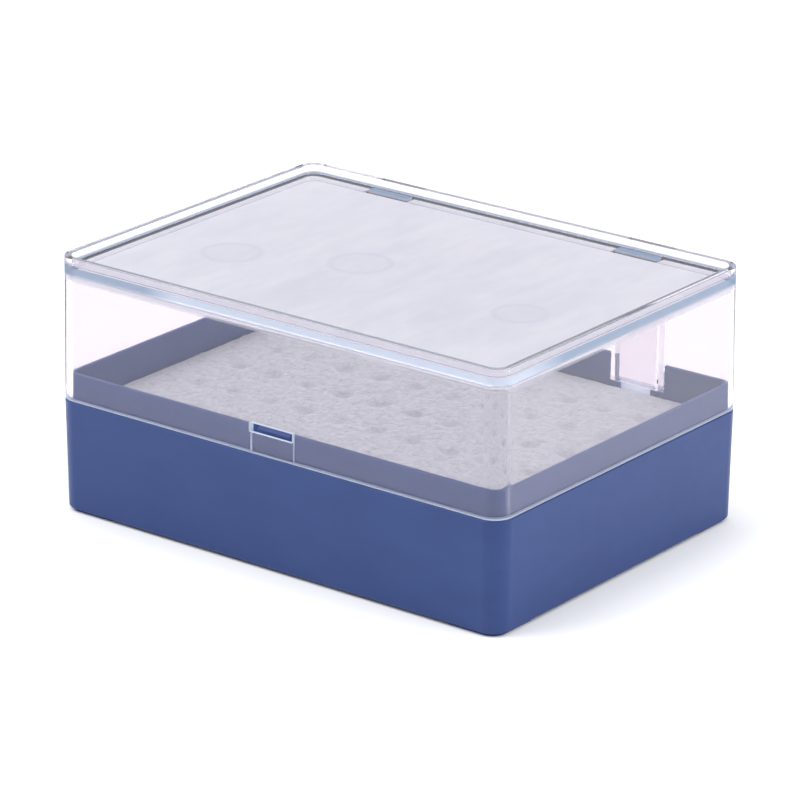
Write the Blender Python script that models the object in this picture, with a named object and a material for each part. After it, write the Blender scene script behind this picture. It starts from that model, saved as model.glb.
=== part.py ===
"""Hinged storage box for small screw-cap vials: blue tub, clear lid, 50-hole rack plate and cover sheet.

Metres, +Z up. X runs along the long side, the catch is on the -Y side and the hinge on the +Y side.
The origin is under the middle of the box, at the underside of its corner feet.
"""

import math

import bmesh
import bpy

# Outline of the closed box
BOX_L = 0.1636
BOX_W = 0.1210
BOX_H = 0.0800
CORNER_R = 0.0063
CORNER_STEPS = 10
LEAST_CORNER_R = 0.0012

# Tub
FOOT_H = 0.0008
FOOT_REACH = 0.0165
FOOT_STRIP = 0.0040
FOOT_INSET = 0.0006
TUB_DRAFT = 0.0006
TUB_EDGE = 0.0008
TUB_EDGE_MIDDLE = 0.3 * TUB_EDGE
SHOULDER_Z = 0.0352
SHOULDER_EDGE = 0.0003
COLLAR_INSET = 0.0025
COLLAR_DRAFT = 0.0003
COLLAR_TOP_Z = 0.0437
COLLAR_EDGE = 0.0003
INNER_INSET = 0.0041
INNER_DRAFT = 0.0004
FLOOR_TOP_Z = 0.0032
FLOOR_FILLET = 0.0020

# Support ribs inside the tub
RIB_W = 0.0020
RIB_DEPTH = 0.0030
RIB_ROOT = 0.0015
RIB_X = (-0.0560, 0.0, 0.0560)
RIB_Y = (-0.0300, 0.0300)

# Lid
GAP = 0.0003
LID_WALL = 0.0022
LID_DRAFT = 0.0005
LID_BOTTOM_Z = SHOULDER_Z + GAP
LID_EDGE = 0.0004
RIM_H = 0.0028
PANEL_T = 0.0022
CEILING_FILLET = 0.0020

# Front catch and its window
WINDOW_W = 0.0159
WINDOW_Z = (0.0420, 0.0448)
GROOVE_DEPTH = 0.0010
CATCH_W = 0.0120
CATCH_OUT = 0.0008
CATCH_RAMP = 0.0007
CATCH_Z = (0.0423, 0.0435)

# Hinges: one pair of pins on the lid, turning in blind bores in the tub's back wall
HINGE_Y = BOX_W / 2 - 0.0017
HINGE_Z = SHOULDER_Z - 0.0017
RELIEF_R = 0.0017
SHAFT_X = (0.0381, 0.0550)
SHAFT_FRONT_Y = 0.0530
SHAFT_BOTTOM_Z = 0.0366
SHAFT_SIDE_T = 0.0010
SHAFT_FRONT_T = 0.0014
SHAFT_SLOT_Y = 0.0026
NOTCH_X = (0.0378, 0.0554)
NOTCH_Z = SHOULDER_Z - 0.0002
SLOT_X = (0.0388, 0.0504)
SLOT_Z = 0.0313
TAB_X = (0.0391, 0.0501)
TAB_R = 0.00145
PIN_R = 0.00095
PIN_END_X = 0.0543
BORE_R = 0.00104
BORE_END_X = 0.0548

# Rack plate and cover sheet
PIECE_CLEAR = 0.0002
RACK_TOP_Z = 0.0317
RACK_T = 0.0026
RACK_EDGE = 0.0003
WELL_COLUMNS = 10
WELL_ROWS = 5
WELL_PITCH_X = 0.0135
WELL_PITCH_Y = 0.01865
WELL_R = 0.00635
SHEET_T = 0.0018
SHEET_EDGE = 0.00045

# How solids are put together: a joined detail reaches FUSED into what it grows from, and a cut runs
# PAST the surfaces that it goes through
FUSED = 0.0006
PAST = 0.0010
ROUND_STEPS = 24
TAB_STEPS = 12
RELIEF_STEPS = 6
SMOOTH_ANGLE = 35

# Surface colours
TUB_BLUE = (0.075, 0.120, 0.290, 1.0)
CLEAR = (0.92, 0.95, 1.0, 1.0)
RACK_BLUE = (0.060, 0.095, 0.230, 1.0)
SHEET_WHITE = (0.80, 0.80, 0.84, 1.0)


def clear_scene():
    for obj in list(bpy.data.objects):
        bpy.data.objects.remove(obj, do_unlink=True)


def principled(name, colour, roughness, transmission=0.0):
    material = bpy.data.materials.new(name)
    material.use_nodes = True
    shader = material.node_tree.nodes["Principled BSDF"]
    shader.inputs["Base Color"].default_value = colour
    shader.inputs["Roughness"].default_value = roughness
    shader.inputs["Transmission Weight"].default_value = transmission
    material.diffuse_color = colour
    return material


def mesh_object(name, shells):
    """One object from closed shells, each given as (points, faces)."""
    verts = []
    faces = []
    for points, polygons in shells:
        start = len(verts)
        verts.extend(points)
        faces.extend([tuple(start + index for index in polygon) for polygon in polygons])
    mesh = bpy.data.meshes.new(name)
    mesh.from_pydata(verts, [], faces)
    work = bmesh.new()
    work.from_mesh(mesh)
    bmesh.ops.recalc_face_normals(work, faces=work.faces)
    work.to_mesh(mesh)
    work.free()
    obj = bpy.data.objects.new(name, mesh)
    bpy.context.collection.objects.link(obj)
    return obj


def outline(inset, radius):
    """Points of the box outline moved inwards by inset, with its corners at radius."""
    half_x = BOX_L / 2 - inset
    half_y = BOX_W / 2 - inset
    points = []
    for quarter, (side_x, side_y) in enumerate(((1, 1), (-1, 1), (-1, -1), (1, -1))):
        centre_x = side_x * (half_x - radius)
        centre_y = side_y * (half_y - radius)
        for step in range(CORNER_STEPS + 1):
            angle = math.pi / 2 * (quarter + step / CORNER_STEPS)
            x = centre_x + radius * math.cos(angle)
            y = centre_y + radius * math.sin(angle)
            points.append((x, y))
    return points


def ring(inset, z):
    """The box outline at height z, with the corner radius that keeps the wall's thickness even."""
    radius = max(CORNER_R - inset, LEAST_CORNER_R)
    return [(x, y, z) for x, y in outline(inset, radius)]


def skin(rings):
    """A closed shell through the rings, capped at the first and the last."""
    count = len(rings[0])
    points = [point for one in rings for point in one]
    faces = [tuple(range(count))]
    for level in range(len(rings) - 1):
        low = level * count
        high = low + count
        for index in range(count):
            after = (index + 1) % count
            faces.append((low + index, low + after, high + after, high + index))
    last = (len(rings) - 1) * count
    faces.append(tuple(last + index for index in range(count)))
    return points, faces


def prism(profile, place_low, place_high):
    """A closed shell between two copies of a profile, put in space by the two place functions."""
    count = len(profile)
    points = [place_low(a, b) for a, b in profile] + [place_high(a, b) for a, b in profile]
    faces = [tuple(range(count)), tuple(range(count, 2 * count))]
    for index in range(count):
        after = (index + 1) % count
        faces.append((index, after, count + after, count + index))
    return points, faces


def prism_along_x(profile_yz, x_low, x_high):
    return prism(profile_yz, lambda y, z: (x_low, y, z), lambda y, z: (x_high, y, z))


def prism_along_y(profile_xz, y_low, y_high):
    return prism(profile_xz, lambda x, z: (x, y_low, z), lambda x, z: (x, y_high, z))


def prism_along_z(profile_xy, z_low, z_high):
    return prism(profile_xy, lambda x, y: (x, y, z_low), lambda x, y: (x, y, z_high))


def block(x_range, y_range, z_range):
    profile = [
        (x_range[0], y_range[0]),
        (x_range[1], y_range[0]),
        (x_range[1], y_range[1]),
        (x_range[0], y_range[1]),
    ]
    return prism_along_z(profile, z_range[0], z_range[1])


def circle(centre_a, centre_b, radius, steps=ROUND_STEPS):
    points = []
    for step in range(steps):
        angle = 2 * math.pi * (step + 0.5) / steps
        points.append((centre_a + radius * math.cos(angle), centre_b + radius * math.sin(angle)))
    return points


def mirrored(x_range, side):
    """An X range given for the +X hinge, on that hinge or on its mirror image."""
    return tuple(sorted((side * x_range[0], side * x_range[1])))


def fillet_steps(depth, steps=4):
    """Pairs (across, up) along a quarter-round fillet, each from 0 to depth."""
    pairs = []
    for step in range(steps + 1):
        angle = math.pi / 2 * step / steps
        pairs.append((depth * (1 - math.cos(angle)), depth * math.sin(angle)))
    return pairs


def combine(target, name, shells, operation):
    """Adds a live Boolean of target with the shells, held in one hidden wire object."""
    tool = mesh_object(name, shells)
    tool.hide_render = True
    tool.display_type = "WIRE"
    modifier = target.modifiers.new(name, "BOOLEAN")
    modifier.operation = operation
    modifier.solver = "EXACT"
    modifier.object = tool
    return tool


def shade_smooth(obj):
    for polygon in obj.data.polygons:
        polygon.use_smooth = True
    obj.data.set_sharp_from_angle(angle=math.radians(SMOOTH_ANGLE))


# ---- tub -------------------------------------------------------------------


def tub_rings():
    bottom = FOOT_H
    floor_inset = INNER_INSET + INNER_DRAFT
    rings = [
        ring(TUB_DRAFT + TUB_EDGE, bottom),
        ring(TUB_DRAFT + TUB_EDGE_MIDDLE, bottom + TUB_EDGE_MIDDLE),
        ring(TUB_DRAFT, bottom + TUB_EDGE),
        ring(0.0, SHOULDER_Z - SHOULDER_EDGE),
        ring(SHOULDER_EDGE, SHOULDER_Z),
        ring(COLLAR_INSET, SHOULDER_Z),
        ring(COLLAR_INSET + COLLAR_DRAFT, COLLAR_TOP_Z - COLLAR_EDGE),
        ring(COLLAR_INSET + COLLAR_DRAFT + COLLAR_EDGE, COLLAR_TOP_Z),
        ring(INNER_INSET, COLLAR_TOP_Z),
    ]
    for across, down in fillet_steps(FLOOR_FILLET):
        height = FLOOR_TOP_Z + FLOOR_FILLET - down
        rings.append(ring(floor_inset + across, height))
    return rings


def foot(side_x, side_y):
    """An L-shaped strip under one corner of the tub."""
    outer_inset = TUB_DRAFT + TUB_EDGE + FOOT_INSET
    outer_radius = CORNER_R - outer_inset
    inner_radius = outer_radius - FOOT_STRIP
    corner_x = BOX_L / 2 - outer_inset - outer_radius
    corner_y = BOX_W / 2 - outer_inset - outer_radius
    straight = FOOT_REACH - outer_radius
    points = [(corner_x - straight, corner_y + outer_radius)]
    for step in range(CORNER_STEPS + 1):
        angle = math.pi / 2 * (1 - step / CORNER_STEPS)
        x = corner_x + outer_radius * math.cos(angle)
        y = corner_y + outer_radius * math.sin(angle)
        points.append((x, y))
    points.append((corner_x + outer_radius, corner_y - straight))
    points.append((corner_x + inner_radius, corner_y - straight))
    for step in range(CORNER_STEPS + 1):
        angle = math.pi / 2 * step / CORNER_STEPS
        x = corner_x + inner_radius * math.cos(angle)
        y = corner_y + inner_radius * math.sin(angle)
        points.append((x, y))
    points.append((corner_x - straight, corner_y + inner_radius))
    profile = [(side_x * x, side_y * y) for x, y in points]
    return prism_along_z(profile, 0.0, FOOT_H + GAP)


def feet():
    return [foot(side_x, side_y) for side_x in (-1, 1) for side_y in (-1, 1)]


def rib(centre_x, centre_y, along_x):
    """A support rib on the inside of a wall, standing on the tub's floor."""
    top = RACK_TOP_Z - RACK_T - GAP
    bottom = FLOOR_TOP_Z - GAP
    wall_x = BOX_L / 2 - INNER_INSET - INNER_DRAFT
    wall_y = BOX_W / 2 - INNER_INSET - INNER_DRAFT
    if along_x:
        side = math.copysign(1, centre_x)
        x_range = sorted((side * (wall_x - RIB_DEPTH), side * (wall_x + RIB_ROOT)))
        y_range = (centre_y - RIB_W / 2, centre_y + RIB_W / 2)
    else:
        side = math.copysign(1, centre_y)
        x_range = (centre_x - RIB_W / 2, centre_x + RIB_W / 2)
        y_range = sorted((side * (wall_y - RIB_DEPTH), side * (wall_y + RIB_ROOT)))
    return block(x_range, y_range, (bottom, top))


def ribs():
    shells = [rib(x, side * BOX_W / 2, False) for x in RIB_X for side in (-1, 1)]
    shells += [rib(side * BOX_L / 2, y, True) for y in RIB_Y for side in (-1, 1)]
    return shells


def catch():
    """The ramped bar on the front of the collar that the lid's window snaps over."""
    root_y = -(BOX_W / 2 - COLLAR_INSET - COLLAR_DRAFT) + FUSED
    front_y = -(BOX_W / 2 - COLLAR_INSET) - CATCH_OUT
    low, high = CATCH_Z
    profile = [
        (root_y, low),
        (front_y, low),
        (front_y, high - CATCH_RAMP),
        (front_y + CATCH_OUT, high),
        (root_y, high),
    ]
    return prism_along_x(profile, -CATCH_W / 2, CATCH_W / 2)


def back_relief():
    """What is taken off the back edge of the shoulder, round the hinge axis, so that the lid can swing."""
    outside = BOX_W / 2 + PAST
    above = SHOULDER_Z + PAST
    over_collar = BOX_W / 2 - COLLAR_INSET + GAP
    profile = [(outside, HINGE_Z), (HINGE_Y + RELIEF_R, HINGE_Z)]
    for step in range(1, RELIEF_STEPS):
        angle = math.pi / 2 * step / RELIEF_STEPS
        profile.append((HINGE_Y + RELIEF_R * math.cos(angle), HINGE_Z + RELIEF_R * math.sin(angle)))
    profile.append((HINGE_Y, SHOULDER_Z))
    profile.append((over_collar, SHOULDER_Z + GAP))
    profile.append((over_collar, above))
    profile.append((outside, above))
    return prism_along_x(profile, -BOX_L / 2 - PAST, BOX_L / 2 + PAST)


def hinge_cut(side):
    """The notch in the collar and, below its inner part, the slot through the back wall."""
    above = COLLAR_TOP_Z + PAST
    profile = [
        (NOTCH_X[0], above),
        (NOTCH_X[0], NOTCH_Z),
        (SLOT_X[0], NOTCH_Z),
        (SLOT_X[0], SLOT_Z),
        (SLOT_X[1], SLOT_Z),
        (SLOT_X[1], NOTCH_Z),
        (NOTCH_X[1], NOTCH_Z),
        (NOTCH_X[1], above),
    ]
    profile = [(side * x, z) for x, z in profile]
    return prism_along_y(profile, BOX_W / 2 - INNER_INSET - 2 * PAST, BOX_W / 2 + PAST)


def hinge_bore(side):
    x_low, x_high = mirrored((SLOT_X[1] - PAST, BORE_END_X), side)
    return prism_along_x(circle(HINGE_Y, HINGE_Z, BORE_R), x_low, x_high)


def build_tub():
    tub = mesh_object("tub", [skin(tub_rings())])
    combine(tub, "tub_feet_and_ribs", feet() + ribs() + [catch()], "UNION")
    combine(tub, "tub_back_relief", [back_relief()], "DIFFERENCE")
    combine(tub, "tub_hinge_cuts", [hinge_cut(-1), hinge_cut(1)], "DIFFERENCE")
    combine(tub, "tub_hinge_bores", [hinge_bore(-1), hinge_bore(1)], "DIFFERENCE")
    return tub


# ---- lid -------------------------------------------------------------------


def lid_rings():
    panel_top = BOX_H - RIM_H
    ceiling = panel_top - PANEL_T
    top_inset = LID_DRAFT
    inner_top = top_inset + LID_WALL
    rings = [
        ring(inner_top + LID_EDGE, panel_top),
        ring(inner_top, panel_top + LID_EDGE),
        ring(inner_top, BOX_H - LID_EDGE),
        ring(inner_top - LID_EDGE, BOX_H),
        ring(top_inset + LID_EDGE, BOX_H),
        ring(top_inset, BOX_H - LID_EDGE),
        ring(0.0, LID_BOTTOM_Z + LID_EDGE),
        ring(LID_EDGE, LID_BOTTOM_Z),
        ring(LID_WALL - LID_EDGE / 2, LID_BOTTOM_Z),
        ring(LID_WALL, LID_BOTTOM_Z + LID_EDGE / 2),
    ]
    for across, up in fillet_steps(CEILING_FILLET):
        rings.append(ring(inner_top + across, ceiling - CEILING_FILLET + up))
    return rings


def hinge_shaft(side):
    """The upright box inside the back wall, over each hinge."""
    x_range = mirrored(SHAFT_X, side)
    wall_y = BOX_W / 2 - LID_WALL + FUSED
    panel_middle = BOX_H - RIM_H - PANEL_T / 2
    return block(x_range, (SHAFT_FRONT_Y, wall_y), (SHAFT_BOTTOM_Z, panel_middle))


def shaft_slot(side):
    """The hollow of the upright box, open at the bottom and through the lid's top panel."""
    x_range = mirrored((SHAFT_X[0] + SHAFT_SIDE_T, SHAFT_X[1] - SHAFT_SIDE_T), side)
    front = SHAFT_FRONT_Y + SHAFT_FRONT_T
    above = BOX_H - RIM_H + PAST
    return block(x_range, (front, front + SHAFT_SLOT_Y), (SHAFT_BOTTOM_Z - PAST, above))


def hinge_tab(side):
    """The tongue that hangs from the lid's back wall and ends round the hinge axis."""
    top = SHAFT_BOTTOM_Z + FUSED
    profile = [(HINGE_Y + TAB_R, top), (HINGE_Y - TAB_R, top)]
    for step in range(TAB_STEPS + 1):
        angle = math.pi + math.pi * step / TAB_STEPS
        profile.append((HINGE_Y + TAB_R * math.cos(angle), HINGE_Z + TAB_R * math.sin(angle)))
    x_low, x_high = mirrored(TAB_X, side)
    return prism_along_x(profile, x_low, x_high)


def hinge_pin(side):
    x_low, x_high = mirrored((TAB_X[1] - FUSED, PIN_END_X), side)
    return prism_along_x(circle(HINGE_Y, HINGE_Z, PIN_R), x_low, x_high)


def window_cut():
    """The window in the lid's front wall and the groove that leads the catch up to it."""
    inside = -(BOX_W / 2 - LID_WALL) + PAST
    groove = -(BOX_W / 2 - LID_WALL) - GROOVE_DEPTH
    outside = -BOX_W / 2 - PAST
    below = LID_BOTTOM_Z - PAST
    low, high = WINDOW_Z
    profile = [
        (inside, below),
        (groove, below),
        (groove, low),
        (outside, low),
        (outside, high),
        (inside, high),
    ]
    return prism_along_x(profile, -WINDOW_W / 2, WINDOW_W / 2)


def build_lid():
    lid = mesh_object("lid", [skin(lid_rings())])
    combine(lid, "lid_hinge_shafts", [hinge_shaft(-1), hinge_shaft(1)], "UNION")
    combine(lid, "lid_shaft_slots", [shaft_slot(-1), shaft_slot(1)], "DIFFERENCE")
    combine(lid, "lid_hinge_tabs", [hinge_tab(-1), hinge_tab(1)], "UNION")
    combine(lid, "lid_hinge_pins", [hinge_pin(-1), hinge_pin(1)], "UNION")
    combine(lid, "lid_catch_window", [window_cut()], "DIFFERENCE")
    return lid


# ---- rack plate and cover sheet ---------------------------------------------


def inner_slab(z_low, z_high, edge):
    """A flat piece that fills the tub from wall to wall, with its clearance and broken edges."""
    inset = INNER_INSET + INNER_DRAFT + PIECE_CLEAR
    return skin(
        [
            ring(inset + edge, z_low),
            ring(inset, z_low + edge),
            ring(inset, z_high - edge),
            ring(inset + edge, z_high),
        ]
    )


def wells():
    shells = []
    low = RACK_TOP_Z - RACK_T - PAST
    high = RACK_TOP_Z + PAST
    for column in range(WELL_COLUMNS):
        x = (column - (WELL_COLUMNS - 1) / 2) * WELL_PITCH_X
        for row in range(WELL_ROWS):
            y = (row - (WELL_ROWS - 1) / 2) * WELL_PITCH_Y
            shells.append(prism_along_z(circle(x, y, WELL_R), low, high))
    return shells


def build_rack():
    rack = mesh_object("rack_plate", [inner_slab(RACK_TOP_Z - RACK_T, RACK_TOP_Z, RACK_EDGE)])
    combine(rack, "rack_wells", wells(), "DIFFERENCE")
    return rack


def build_sheet():
    low = RACK_TOP_Z + GAP
    return mesh_object("cover_sheet", [inner_slab(low, low + SHEET_T, SHEET_EDGE)])


def main():
    clear_scene()
    finishes = {
        "tub": principled("blue_plastic", TUB_BLUE, 0.42),
        "lid": principled("clear_plastic", CLEAR, 0.04, 1.0),
        "rack_plate": principled("rack_plastic", RACK_BLUE, 0.45),
        "cover_sheet": principled("fibre_sheet", SHEET_WHITE, 0.95),
    }
    for obj in (build_tub(), build_lid(), build_rack(), build_sheet()):
        obj.data.materials.append(finishes[obj.name])
        shade_smooth(obj)


main()
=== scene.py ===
"""Looks of a hinged storage box for small screw-cap vials.

A blue tub with a clear hinged lid, a rack plate inside and a fibre sheet laid over the rack. Metres, +Z up.
X runs along the long side, the catch is on the -Y side and the hinge on the +Y side.
"""

import math
import random

import bmesh
import bpy
from mathutils import Matrix, Vector, noise


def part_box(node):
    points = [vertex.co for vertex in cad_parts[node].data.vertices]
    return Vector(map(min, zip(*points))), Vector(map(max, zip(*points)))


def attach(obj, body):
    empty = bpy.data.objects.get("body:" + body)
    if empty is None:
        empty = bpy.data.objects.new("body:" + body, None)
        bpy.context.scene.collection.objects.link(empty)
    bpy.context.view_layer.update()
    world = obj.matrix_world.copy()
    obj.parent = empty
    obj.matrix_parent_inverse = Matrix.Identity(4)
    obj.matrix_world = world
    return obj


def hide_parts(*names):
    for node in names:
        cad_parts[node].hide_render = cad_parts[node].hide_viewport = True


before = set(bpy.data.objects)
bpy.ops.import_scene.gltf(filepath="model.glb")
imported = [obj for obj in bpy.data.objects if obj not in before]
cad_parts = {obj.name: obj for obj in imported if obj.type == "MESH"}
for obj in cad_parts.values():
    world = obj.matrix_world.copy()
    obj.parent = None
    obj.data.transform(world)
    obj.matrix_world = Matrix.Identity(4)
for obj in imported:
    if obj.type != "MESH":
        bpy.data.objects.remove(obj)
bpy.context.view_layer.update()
TUB_LOW, TUB_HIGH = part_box("tub")
LID_LOW, LID_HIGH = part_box("lid")
SHEET_LOW, SHEET_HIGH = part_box("cover_sheet")

# Camera: how far round from the front, how far up, its turn on its own axis, and where it looks
CAMERA_AZIMUTH = 37.46
CAMERA_ELEVATION = 20.25
CAMERA_ROLL = 0.40
CAMERA_AIM = Vector((-0.00665, 0.00932, 0.03180))
CAMERA_DISTANCE = 1.3955
CAMERA_LENS = 209.7

# Outline of the closed box
HALF_X = LID_HIGH.x
HALF_Y = LID_HIGH.y
CORNER_R = 0.0063
CORNER_STEPS = 16
LEAST_CORNER_R = 0.0012
ROUND_STEPS = 4
DEEP_CAP = 0.0100

# Tub
FOOT_H = 0.0008
FOOT_REACH = 0.0165
FOOT_STRIP = 0.0040
FOOT_INSET = 0.0006
TUB_DRAFT = 0.0006
TUB_EDGE = 0.0008
SHOULDER_Z = 0.0352
COLLAR_INSET = 0.0025
COLLAR_DRAFT = 0.0003
COLLAR_TOP_Z = TUB_HIGH.z
INNER_INSET = 0.0041
INNER_DRAFT = 0.0004
FLOOR_TOP_Z = 0.0032
FLOOR_FILLET = 0.0020
FINE_EDGE = 0.0003

# Support ribs inside the tub
RIB_W = 0.0020
RIB_DEPTH = 0.0030
RIB_ROOT = 0.0015
RIB_TOP_Z = 0.0288
RIB_X = (-0.0560, 0.0, 0.0560)
RIB_Y = (-0.0300, 0.0300)

# Lid
LID_WALL = 0.0022
LID_DRAFT = 0.0005
LID_EDGE = 0.00028
PANEL_TOP_Z = LID_HIGH.z - 0.0028
CEILING_Z = PANEL_TOP_Z - 0.0022
CEILING_FILLET = 0.0020
LID_BOTTOM_Z = SHOULDER_Z + 0.0003

# Front catch and its window
WINDOW_W = 0.0159
WINDOW_Z = (0.0420, 0.0448)
GROOVE_DEPTH = 0.0010
CATCH_W = 0.0120
CATCH_OUT = 0.0008
CATCH_RAMP = 0.0007
CATCH_Z = (0.0423, 0.0435)

# Hinges
HINGE_Y = HALF_Y - 0.0017
HINGE_Z = SHOULDER_Z - 0.0017
RELIEF_R = 0.0017
SHAFT_X = (0.0381, 0.0550)
SHAFT_FRONT_Y = 0.0530
SHAFT_BOTTOM_Z = 0.0366
SHAFT_SIDE_T = 0.0010
SHAFT_FRONT_T = 0.0014
SHAFT_SLOT_Y = 0.0026
NOTCH_X = (0.0378, 0.0554)
NOTCH_Z = SHOULDER_Z - 0.0002
SLOT_X = (0.0388, 0.0504)
SLOT_Z = 0.0313
TAB_X = (0.0391, 0.0501)
TAB_R = 0.00145
PIN_R = 0.00095
PIN_END_X = 0.0543
BORE_R = 0.00104
BORE_END_X = 0.0548

# How the solids are joined and cut
FUSED = 0.0006
PAST = 0.0010
CIRCLE_STEPS = 32

# Colours of the plastics and of the fibre sheet, and of the painted reflection, shade and highlights on the
# lid and the painted shade in the sheet's dents
BLUE_TONE = (0.029, 0.060, 0.197, 1)
BLUE_SHADE = (0.025, 0.053, 0.180, 1)
RACK_TONE = (0.034, 0.060, 0.180, 1)
RACK_SHADE = (0.028, 0.050, 0.155, 1)
PANEL_TONE = (0.595, 0.595, 0.640, 1)
PANEL_SHADE = (0.535, 0.540, 0.600, 1)
PANEL_MARK = (0.44, 0.45, 0.54, 1)
# Painted light on the clear lid: the tub's reflection in the band at the panel's height, pale and deep, a
# highlight on the edges and grey shade on the fillet under the panel
PAINTED_BAND_PALE = (0.55, 0.64, 0.78, 1)
PAINTED_EDGE_HIGHLIGHT = (0.74, 0.82, 0.94, 1)
PAINTED_FILLET_SHADE = (0.56, 0.56, 0.62, 1)
PAINTED_BAND_DEEP = (0.26, 0.34, 0.46, 1)
FIBRE_TONE = (0.500, 0.515, 0.540, 1)
# Painted shade down in the sheet's dents
FIBRE_DENT_SHADE = (0.29, 0.29, 0.33, 1)
FIBRE_SHADE = (0.30, 0.30, 0.335, 1)
LOOSE_TONE = (0.56, 0.56, 0.60, 1)
LOOSE_SHADE = (0.46, 0.46, 0.50, 1)

# Clear plastic of the lid, and the share of the frost layer and of each painted reflection, shade and
# highlight layer on it
LID_CLEAR = (0.862, 0.820, 0.858, 1)
LID_ROUGHNESS = 0.015
LID_IOR = 1.50
LID_PASSES = (0.97, 0.975, 0.985, 1)
LID_TINT = (0.33, 0.45, 0.69, 1)
LID_TINT_DENSITY = 10.0
LONGEST_PATH = 6.5
FROST_SHARE = 0.97
MARK_SHARE = 0.5
PAINTED_BAND_SHARE = (0.60, 0.80)
PAINTED_FILLET_SHARE = 0.38
PAINTED_HIGHLIGHT_SHARE = 0.68

# The painted reflection of the blue tub in the band at the panel's height is pale along the front, and
# deepens to the left end and behind the front
BAND_LEFT_X = (-0.036, -0.048)
BAND_BEHIND_Y = (-0.048, -0.030)
BAND_DRIFT = 0.02

# Round marks of the ejector pins on the lid's panel, as x, y and radius
EJECTOR_MARKS = ((-0.0490, -0.0180, 0.0085), (-0.0130, -0.0020, 0.0090), (0.0505, -0.0090, 0.0075))

# Fibre sheet
WELL_COLUMNS = 10
WELL_ROWS = 5
WELL_PITCH_X = 0.0135
WELL_PITCH_Y = 0.01865
WELL_R = 0.00635
DENT_DEPTH = 0.00105
SHEET_CELL = 0.0009
FIBRE_COUNT = 2200
FIBRE_LENGTH = (0.0010, 0.0034)
FIBRE_RADIUS = (0.00002, 0.00005)
FIBRE_HUMP = (0.00001, 0.00012)
FIBRE_SEGMENTS = 6
CLOTH_SCALE = 10.0
CLOTH_CELL_X = WELL_PITCH_X / 9
CLOTH_CELL_Y = WELL_PITCH_Y / 12
CLOTH_FRAMES = 14

# Studio: two square lights, and a light tent that is dimmer round one direction
LIGHT_AIM = (0, 0, 0.03)
KEY_PLACE = (-0.8, -0.7, 1.4)
KEY_SIZE = 1.3
KEY_POWER = 17.5
FILL_PLACE = (1.3, 0.4, 0.9)
FILL_SIZE = 1.2
FILL_POWER = 11.5
TENT_COLOUR = (0.985, 0.985, 1.0, 1.0)
TENT_STRENGTH = 1.16
TENT_DIM_STRENGTH = 0.15
TENT_DIM_SIDE = (0.61, -0.79, 0.0)
TENT_DIM_RANGE = (0.3, 0.95)
FLOOR_RADII = (0.6, 2.0, 6.0, 14.0)
FLOOR_STEPS = 64


# ---- meshes ------------------------------------------------------------------


def new_object(name, points, faces):
    mesh = bpy.data.meshes.new(name)
    mesh.from_pydata(points, [], faces)
    work = bmesh.new()
    work.from_mesh(mesh)
    bmesh.ops.recalc_face_normals(work, faces=work.faces)
    work.to_mesh(mesh)
    work.free()
    obj = bpy.data.objects.new(name, mesh)
    bpy.context.collection.objects.link(obj)
    return obj


def rounded(profile):
    """The (inset, z) points of a profile given as (inset, z, radius), with its corners rounded."""
    points = []
    for index, (inset, z, radius) in enumerate(profile):
        if radius == 0:
            points.append((inset, z))
            continue
        here = Vector((inset, z))
        before = (Vector(profile[index - 1][:2]) - here).normalized()
        after = (Vector(profile[index + 1][:2]) - here).normalized()
        half = before.angle(after) / 2
        centre = here + (before + after).normalized() * radius / math.sin(half)
        start = here + before * radius / math.tan(half) - centre
        turn = math.atan2(before.y * after.x - before.x * after.y, -before.dot(after))
        steps = ROUND_STEPS if radius < FLOOR_FILLET else 2 * ROUND_STEPS
        for step in range(steps + 1):
            arm = Matrix.Rotation(turn * step / steps, 2) @ start
            points.append(tuple(centre + arm))
    return points


def outline(inset):
    """The box outline, moved inwards by inset."""
    radius = max(CORNER_R - inset, LEAST_CORNER_R)
    centre_x = HALF_X - inset - radius
    centre_y = HALF_Y - inset - radius
    points = []
    for quarter, (side_x, side_y) in enumerate(((1, 1), (-1, 1), (-1, -1), (1, -1))):
        for step in range(CORNER_STEPS + 1):
            angle = math.pi / 2 * (quarter + step / CORNER_STEPS)
            x = side_x * centre_x + radius * math.cos(angle)
            y = side_y * centre_y + radius * math.sin(angle)
            points.append((x, y))
    return points


def shell(name, profile):
    """A closed body whose wall follows a profile of (inset, z, radius) all round the box outline."""
    rings = [[(x, y, z) for x, y in outline(inset)] for inset, z in rounded(profile)]
    count = len(rings[0])
    faces = [tuple(range(count))]
    for level in range(len(rings) - 1):
        low = level * count
        for index in range(count):
            after = (index + 1) % count
            faces.append((low + index, low + after, low + count + after, low + count + index))
    last = (len(rings) - 1) * count
    faces.append(tuple(last + index for index in range(count)))
    return new_object(name, [point for ring in rings for point in ring], faces)


def prism(profile, place_low, place_high):
    count = len(profile)
    points = [place_low(a, b) for a, b in profile] + [place_high(a, b) for a, b in profile]
    faces = [tuple(range(count)), tuple(range(count, 2 * count))]
    for index in range(count):
        after = (index + 1) % count
        faces.append((index, after, count + after, count + index))
    return points, faces


def prism_x(profile_yz, low, high):
    return prism(profile_yz, lambda y, z: (low, y, z), lambda y, z: (high, y, z))


def prism_y(profile_xz, low, high):
    return prism(profile_xz, lambda x, z: (x, low, z), lambda x, z: (x, high, z))


def prism_z(profile_xy, low, high):
    return prism(profile_xy, lambda x, y: (x, y, low), lambda x, y: (x, y, high))


def block(x_range, y_range, z_range):
    corners = [(x_range[i], y_range[j]) for i, j in ((0, 0), (1, 0), (1, 1), (0, 1))]
    return prism_z(corners, *z_range)


def circle(centre_a, centre_b, radius):
    angles = [2 * math.pi * (step + 0.5) / CIRCLE_STEPS for step in range(CIRCLE_STEPS)]
    return [(centre_a + radius * math.cos(t), centre_b + radius * math.sin(t)) for t in angles]


def mirrored(x_range, side):
    return tuple(sorted((side * x_range[0], side * x_range[1])))


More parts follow.
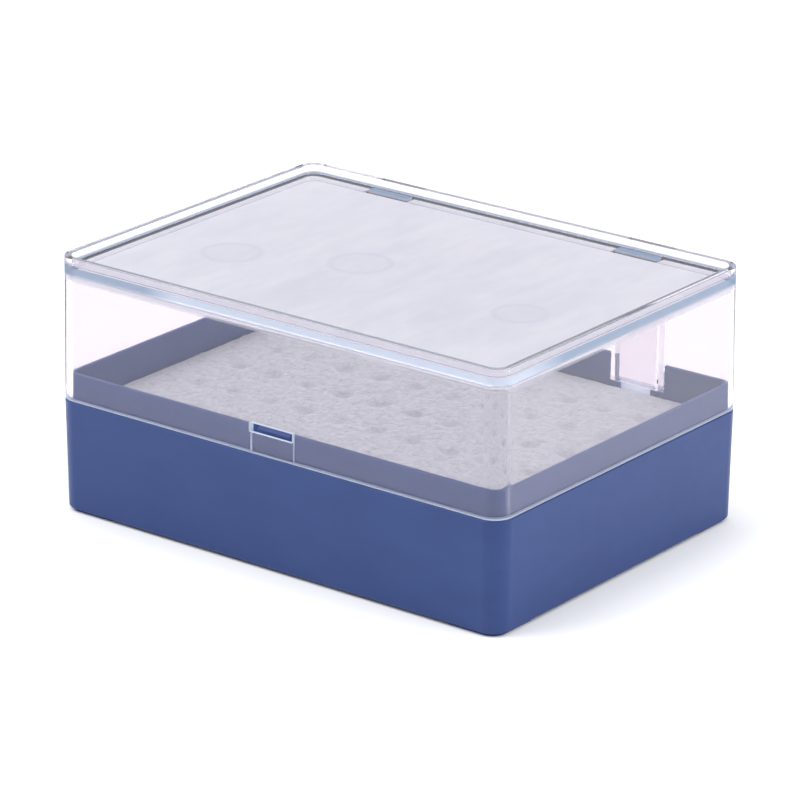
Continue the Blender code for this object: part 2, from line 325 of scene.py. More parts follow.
def combine(target, shells, operation):
    """Joins the shells to the target's mesh or cuts them out of it."""
    points = []
    faces = []
    for own_points, own_faces in shells:
        start = len(points)
        points.extend(own_points)
        faces.extend([tuple(start + index for index in face) for face in own_faces])
    tool = new_object("tool", points, faces)
    modifier = target.modifiers.new("combine", "BOOLEAN")
    modifier.operation = operation
    modifier.solver = "EXACT"
    modifier.object = tool
    apply_modifiers(target)
    bpy.data.objects.remove(tool, do_unlink=True)


def apply_modifiers(obj):
    """Replaces the mesh by what its modifiers make of it."""
    graph = bpy.context.evaluated_depsgraph_get()
    mesh = bpy.data.meshes.new_from_object(obj.evaluated_get(graph), depsgraph=graph)
    mesh.name = obj.name
    obj.modifiers.clear()
    obj.data = mesh


def soften(obj, zones, width):
    """Bevels the sharp edges that lie in any of the zones, given as (low corner, high corner)."""
    work = bmesh.new()
    work.from_mesh(obj.data)
    bmesh.ops.dissolve_limit(
        work, angle_limit=math.radians(0.5), verts=work.verts, edges=work.edges
    )
    chosen = []
    for edge in work.edges:
        middle = (edge.verts[0].co + edge.verts[1].co) / 2
        inside = any(
            all(low[i] <= middle[i] <= high[i] for i in range(3)) for low, high in zones
        )
        if inside and edge.is_manifold and edge.calc_face_angle() > math.radians(50):
            chosen.append(edge)
    bmesh.ops.bevel(
        work, geom=chosen, offset=width, segments=2, profile=0.5, affect="EDGES", clamp_overlap=True
    )
    work.to_mesh(obj.data)
    work.free()


def shade(obj, angle=35):
    """Smooth shading with sharp edges over the angle, and flat faces kept flat."""
    for polygon in obj.data.polygons:
        polygon.use_smooth = True
    obj.data.set_sharp_from_angle(angle=math.radians(angle))
    weighted = obj.modifiers.new("flat_faces_stay_flat", "WEIGHTED_NORMAL")
    weighted.keep_sharp = True
    weighted.weight = 100


# ---- tub -----------------------------------------------------------------------


def foot(side_x, side_y):
    """An L-shaped strip under one corner of the tub."""
    outer_inset = TUB_DRAFT + TUB_EDGE + FOOT_INSET
    outer_r = CORNER_R - outer_inset
    inner_r = outer_r - FOOT_STRIP
    corner_x = HALF_X - outer_inset - outer_r
    corner_y = HALF_Y - outer_inset - outer_r
    straight = FOOT_REACH - outer_r
    turns = [math.pi / 2 * step / CORNER_STEPS for step in range(CORNER_STEPS + 1)]
    points = [(corner_x - straight, corner_y + outer_r)]
    points += [(corner_x + outer_r * math.sin(t), corner_y + outer_r * math.cos(t)) for t in turns]
    points += [(corner_x + outer_r, corner_y - straight), (corner_x + inner_r, corner_y - straight)]
    points += [(corner_x + inner_r * math.cos(t), corner_y + inner_r * math.sin(t)) for t in turns]
    points += [(corner_x - straight, corner_y + inner_r)]
    return prism_z([(side_x * x, side_y * y) for x, y in points], 0.0, FOOT_H + FINE_EDGE)


def ribs():
    """The upright ribs that carry the rack plate."""
    wall_x = HALF_X - INNER_INSET - INNER_DRAFT
    wall_y = HALF_Y - INNER_INSET - INNER_DRAFT
    z_range = (FLOOR_TOP_Z - FINE_EDGE, RIB_TOP_Z)
    half = RIB_W / 2
    shells = []
    for side in (-1, 1):
        reach_y = mirrored((wall_y - RIB_DEPTH, wall_y + RIB_ROOT), side)
        reach_x = mirrored((wall_x - RIB_DEPTH, wall_x + RIB_ROOT), side)
        shells += [block((x - half, x + half), reach_y, z_range) for x in RIB_X]
        shells += [block(reach_x, (y - half, y + half), z_range) for y in RIB_Y]
    return shells


def catch():
    """The ramped bar on the front of the collar that the lid's window snaps over."""
    root = -(HALF_Y - COLLAR_INSET - COLLAR_DRAFT) + FUSED
    front = -(HALF_Y - COLLAR_INSET) - CATCH_OUT
    low, high = CATCH_Z
    profile = [
        (root, low),
        (front, low),
        (front, high - CATCH_RAMP),
        (front + CATCH_OUT, high),
        (root, high),
    ]
    return prism_x(profile, -CATCH_W / 2, CATCH_W / 2)


def back_relief():
    """What is taken off the shoulder's back edge, round the hinge axis."""
    outside = HALF_Y + PAST
    above = SHOULDER_Z + PAST
    over_collar = HALF_Y - COLLAR_INSET + FINE_EDGE
    profile = [(outside, HINGE_Z)]
    steps = 2 * ROUND_STEPS
    for step in range(steps):
        angle = math.pi / 2 * step / steps
        profile.append((HINGE_Y + RELIEF_R * math.cos(angle), HINGE_Z + RELIEF_R * math.sin(angle)))
    profile += [(HINGE_Y, SHOULDER_Z), (over_collar, SHOULDER_Z + FINE_EDGE)]
    profile += [(over_collar, above), (outside, above)]
    return prism_x(profile, -HALF_X - PAST, HALF_X + PAST)


def hinge_cut(side):
    """The notch in the collar and, below its inner part, the slot through the back wall."""
    above = COLLAR_TOP_Z + PAST
    profile = [
        (NOTCH_X[0], above),
        (NOTCH_X[0], NOTCH_Z),
        (SLOT_X[0], NOTCH_Z),
        (SLOT_X[0], SLOT_Z),
        (SLOT_X[1], SLOT_Z),
        (SLOT_X[1], NOTCH_Z),
        (NOTCH_X[1], NOTCH_Z),
        (NOTCH_X[1], above),
    ]
    inside = HALF_Y - INNER_INSET - 2 * PAST
    return prism_y([(side * x, z) for x, z in profile], inside, HALF_Y + PAST)


def hinge_bore(side):
    x_range = mirrored((SLOT_X[1] - PAST, BORE_END_X), side)
    return prism_x(circle(HINGE_Y, HINGE_Z, BORE_R), *x_range)


def make_tub():
    floor_inset = INNER_INSET + INNER_DRAFT
    collar_inset = COLLAR_INSET + COLLAR_DRAFT
    profile = [
        (DEEP_CAP, FOOT_H, 0),
        (TUB_DRAFT, FOOT_H, TUB_EDGE),
        (0.0, SHOULDER_Z, FINE_EDGE),
        (COLLAR_INSET, SHOULDER_Z, FINE_EDGE / 2),
        (collar_inset, COLLAR_TOP_Z, FINE_EDGE),
        (INNER_INSET, COLLAR_TOP_Z, FINE_EDGE),
        (floor_inset, FLOOR_TOP_Z, FLOOR_FILLET),
        (DEEP_CAP, FLOOR_TOP_Z, 0),
    ]
    tub = shell("moulded_tub", profile)
    feet = [foot(side_x, side_y) for side_x in (-1, 1) for side_y in (-1, 1)]
    combine(tub, feet + ribs() + [catch()], "UNION")
    combine(tub, [back_relief()], "DIFFERENCE")
    combine(tub, [hinge_cut(-1), hinge_cut(1)], "DIFFERENCE")
    combine(tub, [hinge_bore(-1), hinge_bore(1)], "DIFFERENCE")
    shade(tub)
    return tub


# ---- lid -----------------------------------------------------------------------


def hinge_shaft(side):
    """The upright box inside the back wall, over each hinge."""
    wall_y = HALF_Y - LID_WALL + FUSED
    middle = (PANEL_TOP_Z + CEILING_Z) / 2
    return block(mirrored(SHAFT_X, side), (SHAFT_FRONT_Y, wall_y), (SHAFT_BOTTOM_Z, middle))


def shaft_slot(side):
    """The hollow of the upright box, open at the bottom and through the lid's top panel."""
    x_range = mirrored((SHAFT_X[0] + SHAFT_SIDE_T, SHAFT_X[1] - SHAFT_SIDE_T), side)
    front = SHAFT_FRONT_Y + SHAFT_FRONT_T
    return block(x_range, (front, front + SHAFT_SLOT_Y), (SHAFT_BOTTOM_Z - PAST, PANEL_TOP_Z + PAST))


def hinge_tab(side):
    """The tongue that hangs from the lid's back wall and ends round the hinge axis."""
    top = SHAFT_BOTTOM_Z + FUSED
    steps = CIRCLE_STEPS // 2
    profile = [(HINGE_Y + TAB_R, top), (HINGE_Y - TAB_R, top)]
    for step in range(steps + 1):
        angle = math.pi + math.pi * step / steps
        profile.append((HINGE_Y + TAB_R * math.cos(angle), HINGE_Z + TAB_R * math.sin(angle)))
    return prism_x(profile, *mirrored(TAB_X, side))


def hinge_pin(side):
    x_range = mirrored((TAB_X[1] - FUSED, PIN_END_X), side)
    return prism_x(circle(HINGE_Y, HINGE_Z, PIN_R), *x_range)


def window_cut():
    """The window in the lid's front wall and the groove that leads the catch up to it."""
    inside = -(HALF_Y - LID_WALL) + PAST
    groove = -(HALF_Y - LID_WALL) - GROOVE_DEPTH
    outside = -HALF_Y - PAST
    below = LID_BOTTOM_Z - PAST
    low, high = WINDOW_Z
    profile = [
        (inside, below),
        (groove, below),
        (groove, low),
        (outside, low),
        (outside, high),
        (inside, high),
    ]
    return prism_x(profile, -WINDOW_W / 2, WINDOW_W / 2)


def make_lid():
    inner_top = LID_DRAFT + LID_WALL
    profile = [
        (DEEP_CAP, PANEL_TOP_Z, 0),
        (inner_top, PANEL_TOP_Z, LID_EDGE),
        (inner_top, LID_HIGH.z, LID_EDGE),
        (LID_DRAFT, LID_HIGH.z, LID_EDGE),
        (0.0, LID_BOTTOM_Z, LID_EDGE),
        (LID_WALL, LID_BOTTOM_Z, LID_EDGE / 2),
        (inner_top, CEILING_Z, CEILING_FILLET),
        (DEEP_CAP, CEILING_Z, 0),
    ]
    lid = shell("clear_lid", profile)
    combine(lid, [hinge_shaft(-1), hinge_shaft(1)], "UNION")
    combine(lid, [shaft_slot(-1), shaft_slot(1)], "DIFFERENCE")
    combine(lid, [hinge_tab(-1), hinge_tab(1)], "UNION")
    combine(lid, [hinge_pin(-1), hinge_pin(1)], "UNION")
    combine(lid, [window_cut()], "DIFFERENCE")
    window_zone = (
        (-WINDOW_W / 2 - PAST, -HALF_Y - PAST, LID_BOTTOM_Z - PAST),
        (WINDOW_W / 2 + PAST, -HALF_Y + 2 * LID_WALL, WINDOW_Z[1] + PAST),
    )
    soften(lid, [window_zone], 0.00012)
    shade(lid)
    return lid


# ---- fibre sheet -------------------------------------------------------------------


def well_centres():
    for column in range(WELL_COLUMNS):
        for row in range(WELL_ROWS):
            x = (column - (WELL_COLUMNS - 1) / 2) * WELL_PITCH_X
            y = (row - (WELL_ROWS - 1) / 2) * WELL_PITCH_Y
            yield x, y


def simulated_sag():
    """Heights of a cloth that is held on the webs between the wells and sags into the wells.

    It is simulated at ten times the size. Returns a function of (x, y) that is 0 on the webs and about 1
    in the middle of a deep dent.
    """
    half_x = SHEET_HIGH.x
    half_y = SHEET_HIGH.y
    columns = 2 * math.ceil(half_x / CLOTH_CELL_X) + 1
    rows = 2 * math.ceil(half_y / CLOTH_CELL_Y) + 1
    chance = random.Random(7)
    give = {centre: chance.uniform(0.72, 1.0) for centre in well_centres()}
    points = []
    held = []
    for row in range(rows):
        y = (row - (rows - 1) / 2) * CLOTH_CELL_Y
        for column in range(columns):
            x = (column - (columns - 1) / 2) * CLOTH_CELL_X
            points.append(Vector((x, y, 0)) * CLOTH_SCALE)
            near = min(give, key=lambda c: (c[0] - x) ** 2 + (c[1] - y) ** 2)
            away = math.dist(near, (x, y)) / (WELL_R * give[near])
            held.append(min(1.0, max(0.0, (away - 0.35) / 0.65)) ** 0.5)
    faces = []
    for row in range(rows - 1):
        for column in range(columns - 1):
            low = row * columns + column
            faces.append((low, low + 1, low + columns + 1, low + columns))
    cloth = new_object("sag_cloth", points, faces)
    group = cloth.vertex_groups.new(name="held")
    for index, weight in enumerate(held):
        group.add([index], weight, "REPLACE")
    modifier = cloth.modifiers.new("cloth", "CLOTH")
    settings = modifier.settings
    settings.quality = 4
    settings.mass = 0.4
    settings.vertex_group_mass = "held"
    settings.pin_stiffness = 1.5
    settings.tension_stiffness = 8
    settings.compression_stiffness = 8
    settings.bending_stiffness = 0.6
    modifier.point_cache.frame_end = CLOTH_FRAMES
    scene = bpy.context.scene
    for number in range(1, CLOTH_FRAMES + 1):
        scene.frame_set(number)
    apply_modifiers(cloth)
    drops = [-vertex.co.z for vertex in cloth.data.vertices]
    scene.frame_set(1)
    bpy.data.objects.remove(cloth, do_unlink=True)
    deepest = sorted(drops)[int(0.995 * len(drops))]
    level = sorted(drops)[len(drops) // 3]
    return grid_reader([(drop - level) / (deepest - level) for drop in drops], columns, rows)


def grid_reader(values, columns, rows):
    """A function of (x, y) that reads the grid of values smoothly."""

    def read(x, y):
        u = min(max(x / CLOTH_CELL_X + (columns - 1) / 2, 0), columns - 1.001)
        v = min(max(y / CLOTH_CELL_Y + (rows - 1) / 2, 0), rows - 1.001)
        column, row = int(u), int(v)
        u, v = u - column, v - row
        low = row * columns + column
        near = values[low] * (1 - u) + values[low + 1] * u
        far = values[low + columns] * (1 - u) + values[low + columns + 1] * u
        return min(max(near * (1 - v) + far * v, 0.0), 1.0)

    return read


def lump(x, y, size, seed):
    """Smooth noise from -1 to 1 with lumps of the given size."""
    return noise.noise(Vector((x / size, y / size, seed)))


def sheet_height(sag, x, y):
    """Height of the sheet's top at (x, y)."""
    top = SHEET_HIGH.z
    dent = DENT_DEPTH * sag(x + 0.0006 * lump(x, y, 0.004, 1), y + 0.0006 * lump(x, y, 0.004, 2))
    lumps = 0.00012 * lump(x, y, 0.0060, 3) + 0.00010 * lump(x, y, 0.0022, 4)
    tufts = 0.00012 * abs(lump(x, y, 0.0011, 5))
    return top - dent + lumps - tufts


def ragged(x, y):
    """How far the sheet's cut edge is drawn in at (x, y)."""
    rough = 0.5 + 0.5 * lump(x, y, 0.0035, 6) + 0.35 * lump(x, y, 0.0011, 7)
    return 0.0006 * min(max(rough, 0.0), 1.0)


def make_sheet(sag):
    half_x = SHEET_HIGH.x
    half_y = SHEET_HIGH.y
    corner = CORNER_R - (HALF_X - half_x)
    columns = round(2 * half_x / SHEET_CELL)
    rows = round(2 * half_y / SHEET_CELL)
    points = []
    for row in range(rows + 1):
        for column in range(columns + 1):
            x = half_x * (2 * column / columns - 1)
            y = half_y * (2 * row / rows - 1)
            over = Vector((abs(x) - half_x + corner, abs(y) - half_y + corner))
            edge = column in (0, columns) or row in (0, rows)
            if over.x > 0 and over.y > 0 and over.length > corner:
                over *= corner / over.length
                x = math.copysign(half_x - corner + over.x, x)
                y = math.copysign(half_y - corner + over.y, y)
                edge = True
            if edge:
                draw = 1 - ragged(x, y) / half_y
                x, y = x * draw, y * draw
            points.append((x, y, sheet_height(sag, x, y) - (0.0003 if edge else 0.0)))
    faces = []
    for row in range(rows):
        for column in range(columns):
            low = row * (columns + 1) + column
            faces.append((low, low + 1, low + columns + 2, low + columns + 1))
    border = list(range(columns))
    border += [row * (columns + 1) + columns for row in range(rows)]
    border += [rows * (columns + 1) + column for column in range(columns, 0, -1)]
    border += [row * (columns + 1) for row in range(rows, 0, -1)]
    previous = border
    for height, inset in ((0.55, 0.0), (0.2, 0.0001), (0.0, 0.0004)):
        start = len(points)
        for index in border:
            x, y, z = points[index]
            draw = 1 - inset / half_y
            points.append((x * draw, y * draw, SHEET_LOW.z + (z - SHEET_LOW.z) * height))
        current = list(range(start, start + len(border)))
        for index in range(len(border)):
            after = (index + 1) % len(border)
            faces.append((previous[index], previous[after], current[after], current[index]))
        previous = current
    faces.append(tuple(previous))
    sheet = new_object("fibre_sheet", points, faces)
    shade(sheet, 60)
    return sheet


def make_fibres(sag):
    """Loose fibres that lie on the sheet and stick out at its edges."""
    chance = random.Random(11)
    half_x = SHEET_HIGH.x - 0.0006
    half_y = SHEET_HIGH.y - 0.0006
    points = []
    faces = []
    for _ in range(FIBRE_COUNT):
        x = chance.uniform(-half_x, half_x)
        y = chance.uniform(-half_y, half_y)
        heading = chance.uniform(0, 2 * math.pi)
        bend = chance.uniform(-0.5, 0.5)
        length = chance.uniform(*FIBRE_LENGTH)
        radius = chance.uniform(*FIBRE_RADIUS)
        hump = chance.uniform(*FIBRE_HUMP)
        line = []
        for step in range(FIBRE_SEGMENTS + 1):
            rise = hump * math.sin(math.pi * step / FIBRE_SEGMENTS)
            z = sheet_height(sag, x, y) + radius * 0.3 + rise
            line.append(Vector((x, y, z)))
            x = min(max(x + math.cos(heading) * length / FIBRE_SEGMENTS, -half_x), half_x)
            y = min(max(y + math.sin(heading) * length / FIBRE_SEGMENTS, -half_y), half_y)
            heading += bend + chance.uniform(-0.25, 0.25)
        start = len(points)
        for index, centre in enumerate(line):
            ahead = line[min(index + 1, FIBRE_SEGMENTS)] - line[max(index - 1, 0)]
            side = ahead.cross(Vector((0, 0, 1)))
            side = side.normalized() if side.length > 0 else Vector((1, 0, 0))
            thin = radius * (0.35 if index in (0, FIBRE_SEGMENTS) else 1.0)
            points.append(centre + side * thin)
            points.append(centre + Vector((0, 0, thin * 1.4)))
            points.append(centre - side * thin)
        faces.append((start, start + 1, start + 2))
        for index in range(FIBRE_SEGMENTS):
            low = start + 3 * index
            for corner in range(3):
                after = (corner + 1) % 3
                faces.append((low + corner, low + after, low + 3 + after, low + 3 + corner))
        last = start + 3 * FIBRE_SEGMENTS
        faces.append((last, last + 1, last + 2))
    fibres = new_object("sheet_fibres", points, faces)
    for polygon in fibres.data.polygons:
        polygon.use_smooth = True
    return fibres


# ---- materials -----------------------------------------------------------------------


class Nodes:
    """A material's node tree, with short calls for adding and joining nodes."""

    def __init__(self, name):
        self.material = bpy.data.materials.new(name)
        self.material.use_nodes = True
        self.tree = self.material.node_tree
        self.tree.nodes.clear()
        self.output = self.tree.nodes.new("ShaderNodeOutputMaterial")

    def add(self, kind, inputs=None, **settings):
        node = self.tree.nodes.new("ShaderNode" + kind)
        for key, value in settings.items():
            setattr(node, key, value)
        for key, value in (inputs or {}).items():
            self.put(node.inputs[key], value)
        return node

    def put(self, socket, value):
        if isinstance(value, bpy.types.NodeSocket):
            self.tree.links.new(value, socket)
        else:
            socket.default_value = value

    def math(self, operation, a, b=0.0, clamp=False):
        node = self.add("Math", {0: a, 1: b}, operation=operation, use_clamp=clamp)
        return node.outputs[0]

    def within(self, value, low, high, soft):
        """1 where value lies between low and high, falling to 0 over soft outside them."""
        up = self.add("MapRange", {"Value": value, "From Min": low - soft, "From Max": low})
        down = self.add("MapRange", {"Value": value, "From Min": high, "From Max": high + soft})
        return self.math("SUBTRACT", up.outputs[0], down.outputs[0], clamp=True)

    def place(self):
        """X, Y and Z of the shaded point in the object's own metres."""
        where = self.add("TexCoord").outputs["Object"]
        return where, self.add("SeparateXYZ", {0: where}).outputs

    def noise(self, where, scale, detail=3.0, roughness=0.5, stretch=None):
        if stretch:
            where = self.add("Mapping", {"Vector": where, "Scale": stretch}).outputs[0]
        made = self.add(
            "TexNoise",
            {"Vector": where, "Scale": scale, "Detail": detail, "Roughness": roughness},
        )
        return made.outputs[0]

    def ramp(self, value, low, high, to_low, to_high):
        made = self.add(
            "MapRange",
            {
                "Value": value,
                "From Min": low,
                "From Max": high,
                "To Min": to_low,
                "To Max": to_high,
            },
        )
        return made.outputs[0]

    def mix_colour(self, share, a, b):
        node = self.add("Mix", data_type="RGBA")
        self.put(node.inputs[0], share)
        self.put(node.inputs[6], a)
        self.put(node.inputs[7], b)
        return node.outputs[2]

    def mix_shader(self, share, a, b):
        node = self.add("MixShader")
        self.put(node.inputs[0], share)
        self.put(node.inputs[1], a)
        self.put(node.inputs[2], b)
        return node.outputs[0]

    def bump(self, height, strength, distance, normal=None):
        node = self.add("Bump", {"Height": height, "Strength": strength, "Distance": distance})
        if normal is not None:
            self.put(node.inputs["Normal"], normal)
        return node.outputs[0]

    def surface(self, shader):
        self.tree.links.new(shader, self.output.inputs["Surface"])
        return self.material


def moulded_plastic(name, colour, deep_colour, roughness):
    """Opaque moulded plastic: a fine matt grain, faint flow shading and slightly rounded edges."""
    nodes = Nodes(name)
    where, _ = nodes.place()
    flow = nodes.noise(where, 45, 3, 0.6, stretch=(1, 1, 2.5))
    tone = nodes.ramp(flow, 0.3, 0.7, 0.0, 1.0)
    base = nodes.mix_colour(tone, deep_colour, colour)
    grain = nodes.noise(where, 3600, 2, 0.6)
    patch = nodes.noise(where, 220, 3, 0.5)
    rough = nodes.ramp(patch, 0.3, 0.7, roughness - 0.04, roughness + 0.05)
    rounded_edge = nodes.add("Bevel", {"Radius": 0.00018}, samples=4).outputs[0]
    normal = nodes.bump(grain, 0.22, 0.00004, rounded_edge)
    shader = nodes.add(
        "BsdfPrincipled",
        {"Base Color": base, "Roughness": rough, "IOR": 1.34, "Normal": normal},
    )
    return nodes.surface(shader.outputs[0])


def round_marks(nodes, x, y):
    """Faint rings that the ejector pins left on the underside of the panel, as a 0 to 1 mask."""
    total = None
    for centre_x, centre_y, radius in EJECTOR_MARKS:
        across = nodes.math("SUBTRACT", x, centre_x)
        along = nodes.math("SUBTRACT", y, centre_y)
        squares = nodes.math(
            "ADD", nodes.math("MULTIPLY", across, across), nodes.math("MULTIPLY", along, along)
        )
        away = nodes.math("SQRT", squares)
        ring = nodes.within(away, radius - 0.0004, radius + 0.0004, 0.0012)
        disc = nodes.ramp(away, radius - 0.001, radius + 0.001, 0.35, 0.0)
        mark = nodes.math("MAXIMUM", ring, disc)
        total = mark if total is None else nodes.math("MAXIMUM", total, mark)
    return total


def milky_or_painted_layer(nodes, colour, through):
    """A diffusing layer that passes the given share of the light on. It makes the real frost of the panel,
    and also the painted reflection, shade and highlights of the lid.
    """
    return nodes.mix_shader(
        through,
        nodes.add("BsdfDiffuse", {"Color": colour}).outputs[0],
        nodes.add("BsdfTranslucent", {"Color": colour}).outputs[0],
    )


def frosted_panel(nodes, where, x, y, z, level, gloss):
    """The gloss, frosted on the flat underside of the top panel, with streaks and the round marks."""
    flat = nodes.math("GREATER_THAN", level, 0.90)
    height = nodes.within(z, CEILING_Z - 0.0003, CEILING_Z + 0.0002, 0.0001)
    ceiling = nodes.math("MULTIPLY", flat, height)
    streaks = nodes.noise(where, 60, 4, 0.65, stretch=(2.2, 0.7, 1))
    mottle = nodes.ramp(streaks, 0.35, 0.65, 0, 1)
    colour = nodes.mix_colour(mottle, PANEL_SHADE, PANEL_TONE)
    marks = nodes.math("MULTIPLY", round_marks(nodes, x, y), MARK_SHARE)
    colour = nodes.mix_colour(marks, colour, PANEL_MARK)
    share = nodes.math("MULTIPLY", ceiling, FROST_SHARE)
    return nodes.mix_shader(share, gloss, milky_or_painted_layer(nodes, colour, 0.3))


def painted_band_and_fillet(nodes, where, x, y, z, upright, shader):
    """The painted reflection of the tub as a pale blue band at the panel's height, and the painted shade as
    a grey band on the fillet under it.
    """
    drift = nodes.math("SUBTRACT", nodes.noise(where, 25, 2, 0.5), 0.5)
    drift = nodes.math("MULTIPLY", drift, BAND_DRIFT)
    left_end = nodes.ramp(nodes.math("ADD", x, drift), *BAND_LEFT_X, 0.0, 1.0)
    behind = nodes.ramp(nodes.math("ADD", y, drift), *BAND_BEHIND_Y, 0.0, 1.0)
    depth = nodes.math("MAXIMUM", left_end, behind)
    # Painted reflection: the band's colour goes from pale to deep blue towards the left end and behind the
    # front
    colour = nodes.mix_colour(depth, PAINTED_BAND_PALE, PAINTED_BAND_DEEP)
    band = nodes.within(z, CEILING_Z + 0.0001, PANEL_TOP_Z, 0.0004)
    band = nodes.math("MULTIPLY", band, upright)
    share = nodes.math("MULTIPLY", band, nodes.ramp(depth, 0, 1, *PAINTED_BAND_SHARE))
    banded = nodes.mix_shader(share, shader, milky_or_painted_layer(nodes, colour, 0.5))
    # Painted shade: a grey layer on the fillet under the panel
    under = nodes.within(z, CEILING_Z - CEILING_FILLET, CEILING_Z, 0.0002)
    under = nodes.math("MULTIPLY", under, upright)
    fillet = milky_or_painted_layer(nodes, PAINTED_FILLET_SHADE, 0.5)
    return nodes.mix_shader(nodes.math("MULTIPLY", under, PAINTED_FILLET_SHARE), banded, fillet)


def painted_edge_highlights(nodes, x, y, z, facing_y, shader):
    """Painted highlights where the lid's low edge and the cut faces of the catch window catch the light."""
    low_edge = nodes.math("LESS_THAN", z, LID_BOTTOM_Z + 0.0005)
    beside = nodes.within(x, -WINDOW_W / 2 - 0.0003, WINDOW_W / 2 + 0.0003, 0.0001)
    before = nodes.math("LESS_THAN", y, LID_WALL - HALF_Y + 0.0001)
    beneath = nodes.math("LESS_THAN", z, WINDOW_Z[1] + 0.0003)
    cut = nodes.math("MULTIPLY", nodes.math("MULTIPLY", beside, before), beneath)
    sideways = nodes.math("LESS_THAN", nodes.math("ABSOLUTE", facing_y), 0.8)
    cut = nodes.math("MULTIPLY", cut, sideways)
    share = nodes.math("MULTIPLY", nodes.math("MAXIMUM", low_edge, cut), PAINTED_HIGHLIGHT_SHARE)
    return nodes.mix_shader(share, shader, milky_or_painted_layer(nodes, PAINTED_EDGE_HIGHLIGHT, 0.5))


def clear_plastic():
    """Clear styrene: refracting walls and a frosted top panel, with a painted reflection as a band, painted
    shade on the fillet and painted highlights on the edges.
    """
    nodes = Nodes("clear_styrene")
    where, (x, y, z) = nodes.place()
    normal = nodes.add("NewGeometry").outputs["True Normal"]
    facing = nodes.add("SeparateXYZ", {0: normal}).outputs
    level = nodes.math("ABSOLUTE", facing[2])
    upright = nodes.math("LESS_THAN", level, 0.5)
    wave = nodes.bump(nodes.noise(where, 90, 2, 0.4), 0.05, 0.0004)
    shader = nodes.add(
        "BsdfPrincipled",
        {
            "Base Color": LID_CLEAR,
            "Roughness": LID_ROUGHNESS,
            "IOR": LID_IOR,
            "Transmission Weight": 1.0,
            "Normal": wave,
        },
    ).outputs[0]
    shader = frosted_panel(nodes, where, x, y, z, level, shader)
    shader = painted_band_and_fillet(nodes, where, x, y, z, upright, shader)
    shader = painted_edge_highlights(nodes, x, y, z, facing[1], shader)
    # Shadows, diffuse light and very long paths pass straight through the lid
    passing = nodes.add("BsdfTransparent", {"Color": LID_PASSES}).outputs[0]
    path = nodes.add("LightPath").outputs
    long_path = nodes.math("GREATER_THAN", path["Ray Depth"], LONGEST_PATH)
    soft_light = nodes.math("MAXIMUM", path["Is Shadow Ray"], path["Is Diffuse Ray"])
    share = nodes.math("MAXIMUM", soft_light, long_path)
    tint = nodes.add("VolumeAbsorption", {"Color": LID_TINT, "Density": LID_TINT_DENSITY})
    nodes.tree.links.new(tint.outputs[0], nodes.output.inputs["Volume"])
    return nodes.surface(nodes.mix_shader(share, shader, passing))


def felt(name, colour, shade_colour):
    """Matted white fibres: fine criss-cross strands in colour and relief, with a soft sheen, and painted
    shade down in the dents.
    """
    nodes = Nodes(name)
    where, (_, _, z) = nodes.place()
    strands = nodes.noise(where, 1500, 3, 0.7, stretch=(1, 0.35, 1))
    crossing = nodes.noise(where, 1500, 3, 0.7, stretch=(0.35, 1, 1))
    fuzz = nodes.math("MAXIMUM", strands, crossing)
    clumps = nodes.noise(where, 420, 4, 0.65)
    from_fuzz = nodes.ramp(fuzz, 0.45, 0.75, 0, 0.7)
    from_clumps = nodes.ramp(clumps, 0.35, 0.65, 0, 0.3)
    tone = nodes.math("ADD", from_fuzz, from_clumps)
    base = nodes.mix_colour(tone, shade_colour, colour)
    # Painted shade: the sheet gets darker the deeper it sinks into a dent
    dent_shade = nodes.ramp(z, SHEET_HIGH.z - 0.0011, SHEET_HIGH.z - 0.0002, 0.75, 0.0)
    base = nodes.mix_colour(dent_shade, base, FIBRE_DENT_SHADE)
    relief = nodes.bump(fuzz, 0.8, 0.00015, nodes.bump(clumps, 0.7, 0.0004))
    shader = nodes.add(
        "BsdfPrincipled",
        {
            "Base Color": base,
            "Roughness": 0.95,
            "Sheen Weight": 0.25,
            "Sheen Roughness": 0.5,
            "Normal": relief,
        },
    )
    return nodes.surface(shader.outputs[0])


def floor_paint():
    nodes = Nodes("studio_floor")
    where, _ = nodes.place()
    tone = nodes.ramp(nodes.noise(where, 6, 2), 0.3, 0.7, 0.93, 0.95)
    colour = nodes.add("CombineColor", {0: tone, 1: tone, 2: tone}).outputs[0]
    return nodes.surface(nodes.add("BsdfDiffuse", {"Color": colour}).outputs[0])


# ---- studio ---------------------------------------------------------------------------


def make_camera():
    azimuth = math.radians(CAMERA_AZIMUTH)
    elevation = math.radians(CAMERA_ELEVATION)
    flat = math.cos(elevation)
    back = Vector((math.sin(azimuth) * flat, -math.cos(azimuth) * flat, math.sin(elevation)))
    right = Vector((0, 0, 1)).cross(back).normalized()
    up = back.cross(right)
    upright = Matrix((right, up, back)).transposed().to_4x4()
    turn = Matrix.Rotation(math.radians(CAMERA_ROLL), 4, back)
    camera = bpy.data.objects.new("camera", bpy.data.cameras.new("camera"))
    camera.data.lens = CAMERA_LENS
    camera.data.clip_start = 0.05
    camera.data.clip_end = 50
    camera.matrix_world = Matrix.Translation(CAMERA_AIM + back * CAMERA_DISTANCE) @ turn @ upright
    bpy.context.collection.objects.link(camera)
    bpy.context.scene.camera = camera


def make_floor():
    """A round, flat, pale floor."""
    points = []
    faces = []
    for radius in FLOOR_RADII:
        for step in range(FLOOR_STEPS):
            angle = 2 * math.pi * step / FLOOR_STEPS
            points.append((radius * math.cos(angle), radius * math.sin(angle), 0.0))
    points.append((0, 0, 0))
    centre = len(points) - 1
    for step in range(FLOOR_STEPS):
        after = (step + 1) % FLOOR_STEPS
        faces.append((centre, step, after))
        for level in range(len(FLOOR_RADII) - 1):
            low = level * FLOOR_STEPS
            high = low + FLOOR_STEPS
            faces.append((low + step, high + step, high + after, low + after))
    floor = new_object("floor", points, faces)
    if floor.data.polygons[0].normal.z < 0:
        floor.data.flip_normals()
    floor.data.materials.append(floor_paint())


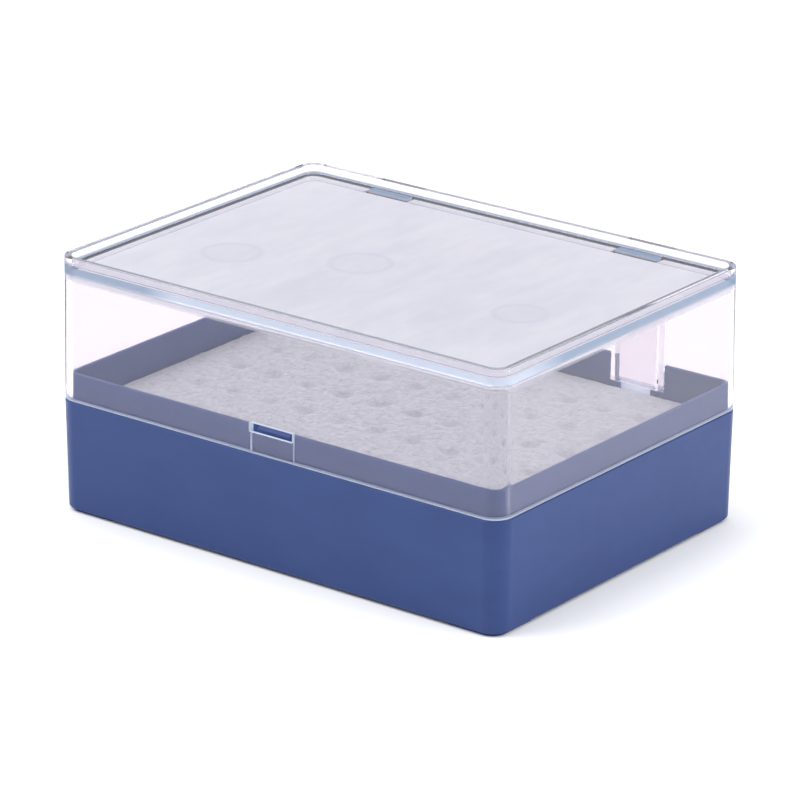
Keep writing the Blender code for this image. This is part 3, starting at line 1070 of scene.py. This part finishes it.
def area_light(name, location, size, power):
    light = bpy.data.lights.new(name, "AREA")
    light.shape = "RECTANGLE"
    light.size = size
    light.size_y = size
    light.energy = power
    lamp = bpy.data.objects.new(name, light)
    lamp.location = location
    lamp.rotation_euler = (Vector(LIGHT_AIM) - Vector(location)).to_track_quat("-Z", "Y").to_euler()
    bpy.context.collection.objects.link(lamp)


def make_world():
    """A white light tent, dimmer on the side that TENT_DIM_SIDE points to."""
    world = bpy.data.worlds.new("light_tent")
    world.use_nodes = True
    tree = world.node_tree
    tree.nodes.clear()
    output = tree.nodes.new("ShaderNodeOutputWorld")
    background = tree.nodes.new("ShaderNodeBackground")
    direction = tree.nodes.new("ShaderNodeTexCoord")
    dim_side = tree.nodes.new("ShaderNodeVectorMath")
    dim_side.operation = "DOT_PRODUCT"
    dim_side.inputs[1].default_value = TENT_DIM_SIDE
    ramp = tree.nodes.new("ShaderNodeMapRange")
    ramp.inputs["From Min"].default_value = TENT_DIM_RANGE[0]
    ramp.inputs["From Max"].default_value = TENT_DIM_RANGE[1]
    ramp.inputs["To Min"].default_value = TENT_STRENGTH
    ramp.inputs["To Max"].default_value = TENT_DIM_STRENGTH
    tree.links.new(direction.outputs["Generated"], dim_side.inputs[0])
    tree.links.new(dim_side.outputs["Value"], ramp.inputs["Value"])
    tree.links.new(ramp.outputs[0], background.inputs["Strength"])
    tree.links.new(background.outputs[0], output.inputs["Surface"])
    background.inputs["Color"].default_value = TENT_COLOUR
    bpy.context.scene.world = world


def make_studio():
    bpy.context.scene.view_settings.view_transform = "Standard"
    make_world()
    make_floor()
    area_light("key", KEY_PLACE, KEY_SIZE, KEY_POWER)
    area_light("fill", FILL_PLACE, FILL_SIZE, FILL_POWER)


# ---- the object --------------------------------------------------------------------------


def finish_piece(obj, material, body, replaced=None):
    obj.data.materials.clear()
    obj.data.materials.append(material)
    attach(obj, body)
    if replaced:
        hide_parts(replaced)


def main():
    make_camera()
    make_studio()
    blue = moulded_plastic("blue_moulded", BLUE_TONE, BLUE_SHADE, 0.36)
    rack_blue = moulded_plastic("rack_moulded", RACK_TONE, RACK_SHADE, 0.45)
    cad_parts["rack_plate"].data.materials[0] = rack_blue
    finish_piece(make_tub(), blue, "tub", "tub")
    finish_piece(make_lid(), clear_plastic(), "lid", "lid")
    sag = simulated_sag()
    sheet = make_sheet(sag)
    fibres = make_fibres(sag)
    white = felt("white_fibre", FIBRE_TONE, FIBRE_SHADE)
    loose = felt("loose_fibre", LOOSE_TONE, LOOSE_SHADE)
    finish_piece(sheet, white, "sheet", "cover_sheet")
    finish_piece(fibres, loose, "sheet")


main()
